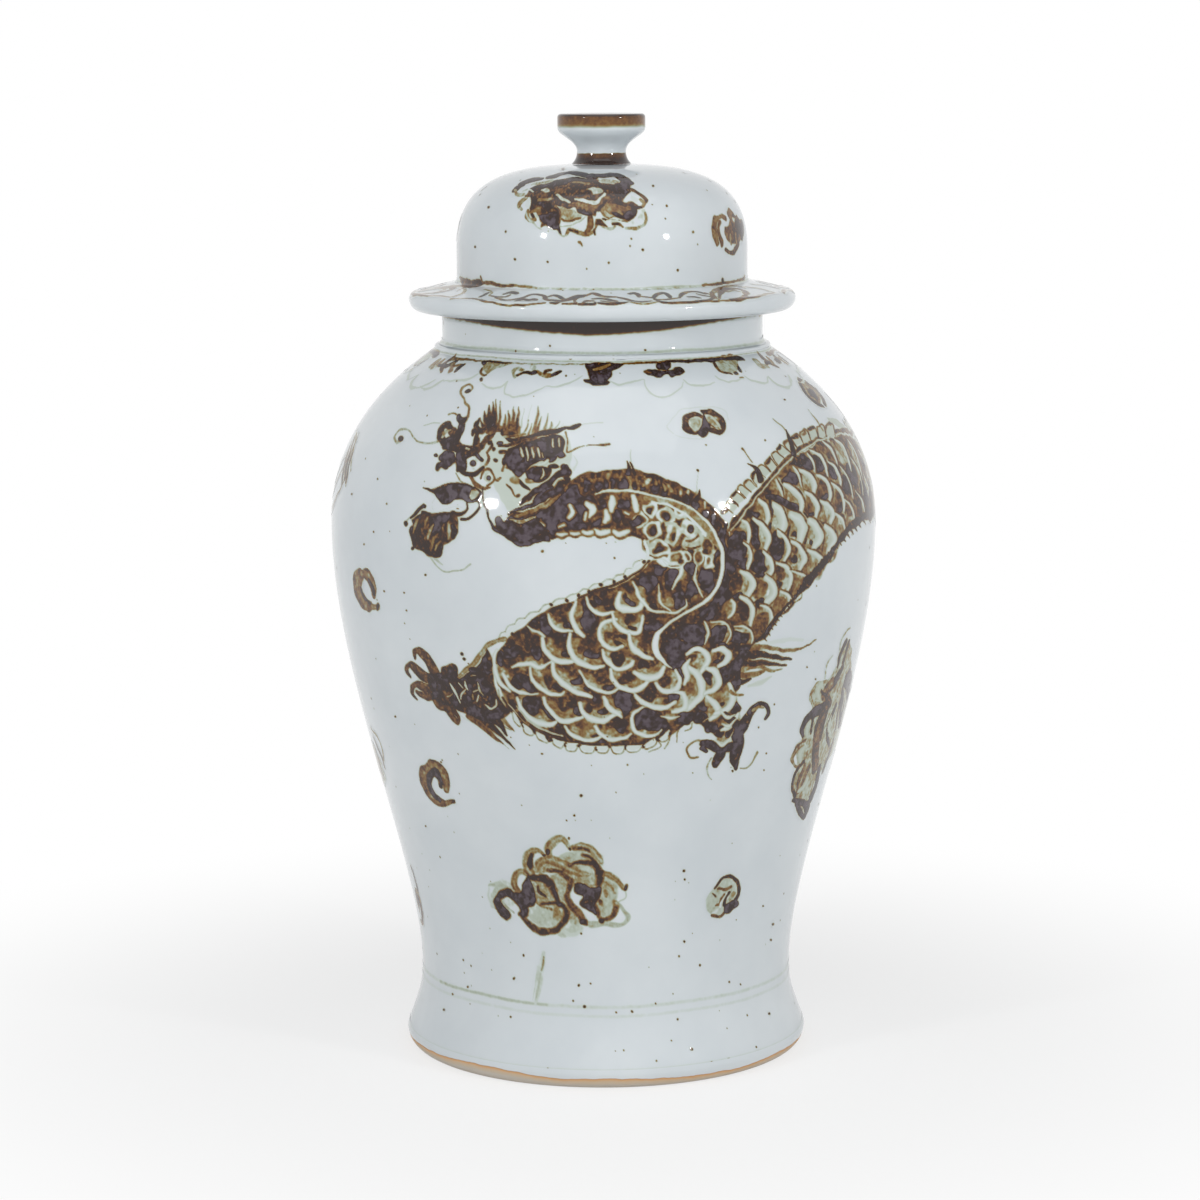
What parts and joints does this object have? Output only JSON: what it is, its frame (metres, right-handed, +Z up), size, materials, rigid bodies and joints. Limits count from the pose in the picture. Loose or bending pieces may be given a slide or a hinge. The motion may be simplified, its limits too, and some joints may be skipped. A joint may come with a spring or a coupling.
{
  "type": "temple jar",
  "caption": "Tall lidded porcelain temple jar: full belly, flared foot, straight neck collar, and a domed lid with a brim, an inner locating ring and a knob.",
  "frame": {"origin": "centre of the face that the foot ring rests on, on the turning axis", "axes": "+Z up along the turning axis from the foot to the knob; -Y is the front, the side with the painted dragon's head; +X is the viewer's right"},
  "size_m": [0.2966, 0.2966, 0.51],
  "materials": {
    "glazed_porcelain_body": "glossy pale celadon-white glaze with iron-brown underglaze painting and iron specks",
    "glazed_porcelain_lid": "glossy pale celadon-white glaze with iron-brown underglaze painting",
    "iron_glazed_knob": "glossy celadon-white glaze with two iron-brown bands",
    "bare_porcelain": "unglazed, fired buff-orange, matt"
  },
  "bodies": {
    "jar": {"lower_body": "glazed_porcelain_body", "shoulder": "glazed_porcelain_body", "neck_collar": "glazed_porcelain_body"},
    "lid": {"lid_dome": "glazed_porcelain_lid", "locating_ring": "bare_porcelain", "lid_knob": "iron_glazed_knob"}
  },
  "joints": [
    {"name": "lid_lift", "type": "slide", "parent": "jar", "child": "lid", "axis": [0, 0, 1], "range_m": [0, 0.22]}
  ]
}
